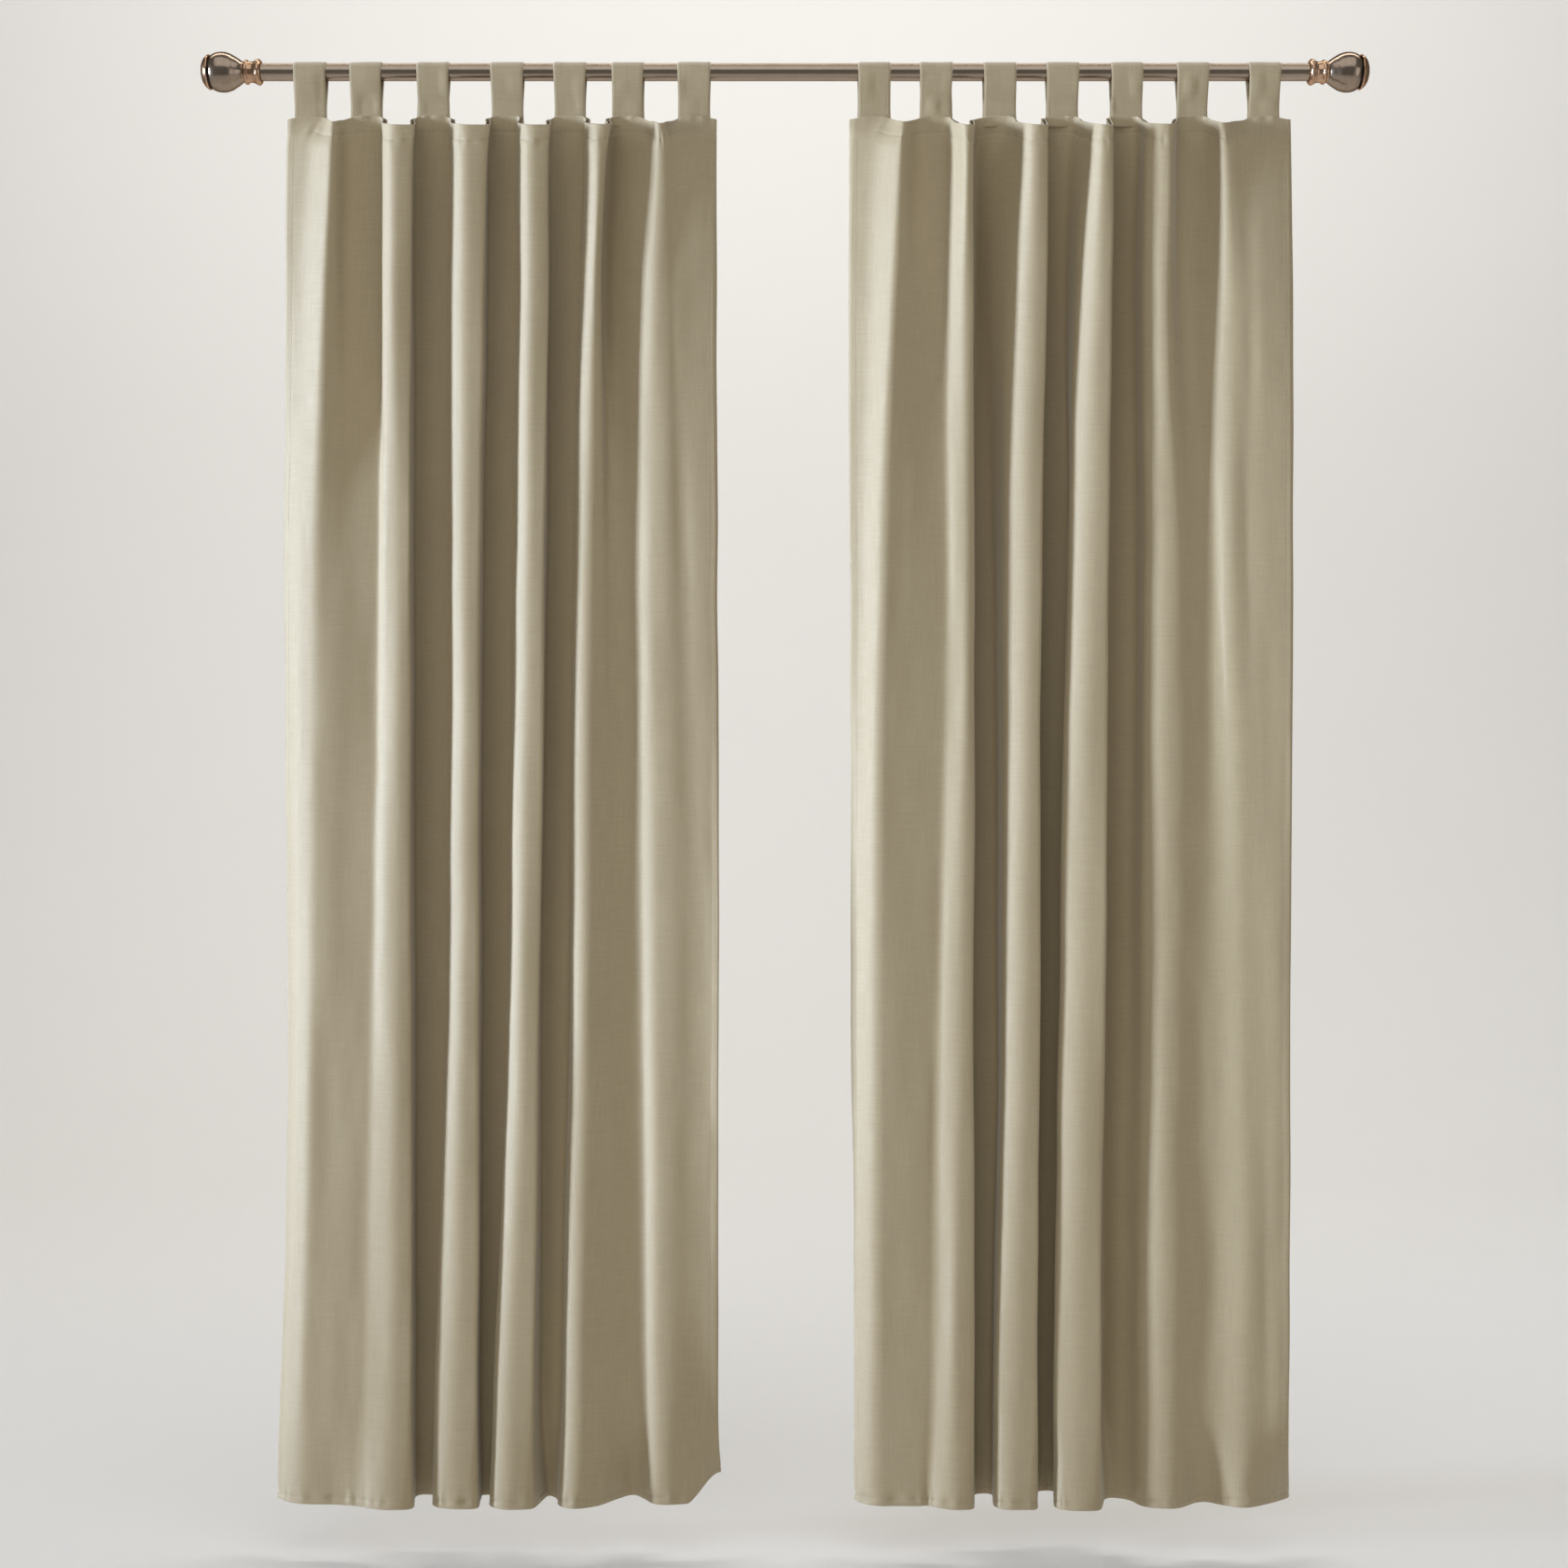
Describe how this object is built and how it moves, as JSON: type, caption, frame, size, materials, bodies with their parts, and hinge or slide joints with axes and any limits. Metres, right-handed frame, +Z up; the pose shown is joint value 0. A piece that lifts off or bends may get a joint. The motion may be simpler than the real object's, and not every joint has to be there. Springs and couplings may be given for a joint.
{
  "type": "tab-top curtain pair on a rod",
  "caption": "Pair of long tab-top curtain panels hanging in soft folds on a metal rod with ball-shaped finials; tabs slide along the rod.",
  "frame": {"origin": "middle of the rod's length, on the rod's axis", "axes": "+X along the rod to the viewer's right, +Y from the room towards the wall, +Z up; the room side faces -Y"},
  "size_m": [1.732, 0.1092, 2.1486],
  "materials": {
    "rod_bronze": "satin",
    "bulb_antique_bronze": "satin",
    "trim_rose_bronze": "polished",
    "ring_dark": "satin",
    "screw_black": "satin",
    "curtain_fabric": "matte"
  },
  "bodies": {
    "rod": {"rod_tube": "rod_bronze"},
    "left_finial": {"left_finial_collar": "trim_rose_bronze", "left_finial_bulb": "bulb_antique_bronze", "left_finial_ring": "ring_dark", "left_finial_cap": "trim_rose_bronze", "left_finial_stud": "screw_black"},
    "left_set_screw": {"left_set_screw": "screw_black"},
    "left_panel": {"left_panel_cloth": "curtain_fabric", "left_header_facing": "curtain_fabric", "left_tab_1": "curtain_fabric"},
    "left_tab_2": {"left_tab_2": "curtain_fabric"},
    "left_tab_3": {"left_tab_3": "curtain_fabric"},
    "left_tab_4": {"left_tab_4": "curtain_fabric"},
    "left_tab_5": {"left_tab_5": "curtain_fabric"},
    "left_tab_6": {"left_tab_6": "curtain_fabric"},
    "left_tab_7": {"left_tab_7": "curtain_fabric"},
    "right_finial": {"right_finial_collar": "trim_rose_bronze", "right_finial_bulb": "bulb_antique_bronze", "right_finial_ring": "ring_dark", "right_finial_cap": "trim_rose_bronze", "right_finial_stud": "screw_black"},
    "right_set_screw": {"right_set_screw": "screw_black"},
    "right_panel": {"right_panel_cloth": "curtain_fabric", "right_header_facing": "curtain_fabric", "right_tab_1": "curtain_fabric"},
    "right_tab_2": {"right_tab_2": "curtain_fabric"},
    "right_tab_3": {"right_tab_3": "curtain_fabric"},
    "right_tab_4": {"right_tab_4": "curtain_fabric"},
    "right_tab_5": {"right_tab_5": "curtain_fabric"},
    "right_tab_6": {"right_tab_6": "curtain_fabric"},
    "right_tab_7": {"right_tab_7": "curtain_fabric"}
  },
  "joints": [
    {"name": "left_finial_pull", "type": "slide", "parent": "rod", "child": "left_finial", "axis": [-1, 0, 0], "range_m": [0, 0.04]},
    {"name": "left_screw_turn", "type": "hinge", "parent": "left_finial", "child": "left_set_screw", "pos_m": [-0.795, -0.01395, 0], "axis": [0, -1, 0], "continuous": true},
    {"name": "left_swing", "type": "hinge", "parent": "rod", "child": "left_panel", "pos_m": [0, 0, 0], "axis": [1, 0, 0], "range_deg": [-12, 2]},
    {"name": "left_draw", "type": "slide", "parent": "left_panel", "child": "left_tab_7", "axis": [-1, 0, 0], "range_m": [-0.085, 0.18]},
    {"name": "left_tab_2_slide", "type": "slide", "parent": "left_panel", "child": "left_tab_2", "axis": [-1, 0, 0], "range_m": [-0.005, 0.0105]},
    {"name": "left_tab_3_slide", "type": "slide", "parent": "left_panel", "child": "left_tab_3", "axis": [-1, 0, 0], "range_m": [-0.0207, 0.0436]},
    {"name": "left_tab_4_slide", "type": "slide", "parent": "left_panel", "child": "left_tab_4", "axis": [-1, 0, 0], "range_m": [-0.0443, 0.0937]},
    {"name": "left_tab_5_slide", "type": "slide", "parent": "left_panel", "child": "left_tab_5", "axis": [-1, 0, 0], "range_m": [-0.0642, 0.1359]},
    {"name": "left_tab_6_slide", "type": "slide", "parent": "left_panel", "child": "left_tab_6", "axis": [-1, 0, 0], "range_m": [-0.0785, 0.166]},
    {"name": "right_finial_pull", "type": "slide", "parent": "rod", "child": "right_finial", "axis": [1, 0, 0], "range_m": [0, 0.04]},
    {"name": "right_screw_turn", "type": "hinge", "parent": "right_finial", "child": "right_set_screw", "pos_m": [0.795, -0.01395, 0], "axis": [0, -1, 0], "continuous": true},
    {"name": "right_swing", "type": "hinge", "parent": "rod", "child": "right_panel", "pos_m": [0, 0, 0], "axis": [1, 0, 0], "range_deg": [-12, 2]},
    {"name": "right_draw", "type": "slide", "parent": "right_panel", "child": "right_tab_7", "axis": [1, 0, 0], "range_m": [-0.085, 0.18]},
    {"name": "right_tab_2_slide", "type": "slide", "parent": "right_panel", "child": "right_tab_2", "axis": [1, 0, 0], "range_m": [-0.0077, 0.0161]},
    {"name": "right_tab_3_slide", "type": "slide", "parent": "right_panel", "child": "right_tab_3", "axis": [1, 0, 0], "range_m": [-0.0244, 0.0516]},
    {"name": "right_tab_4_slide", "type": "slide", "parent": "right_panel", "child": "right_tab_4", "axis": [1, 0, 0], "range_m": [-0.0449, 0.0948]},
    {"name": "right_tab_5_slide", "type": "slide", "parent": "right_panel", "child": "right_tab_5", "axis": [1, 0, 0], "range_m": [-0.0644, 0.1362]},
    {"name": "right_tab_6_slide", "type": "slide", "parent": "right_panel", "child": "right_tab_6", "axis": [1, 0, 0], "range_m": [-0.0794, 0.1679]}
  ],
  "couplings": [
    {"joint": "left_tab_2_slide", "follows": "left_draw", "ratio": 0.0576},
    {"joint": "left_tab_3_slide", "follows": "left_draw", "ratio": 0.2415},
    {"joint": "left_tab_4_slide", "follows": "left_draw", "ratio": 0.5198},
    {"joint": "left_tab_5_slide", "follows": "left_draw", "ratio": 0.7539},
    {"joint": "left_tab_6_slide", "follows": "left_draw", "ratio": 0.9212},
    {"joint": "right_tab_2_slide", "follows": "right_draw", "ratio": 0.0886},
    {"joint": "right_tab_3_slide", "follows": "right_draw", "ratio": 0.2858},
    {"joint": "right_tab_4_slide", "follows": "right_draw", "ratio": 0.5259},
    {"joint": "right_tab_5_slide", "follows": "right_draw", "ratio": 0.756},
    {"joint": "right_tab_6_slide", "follows": "right_draw", "ratio": 0.9321}
  ]
}
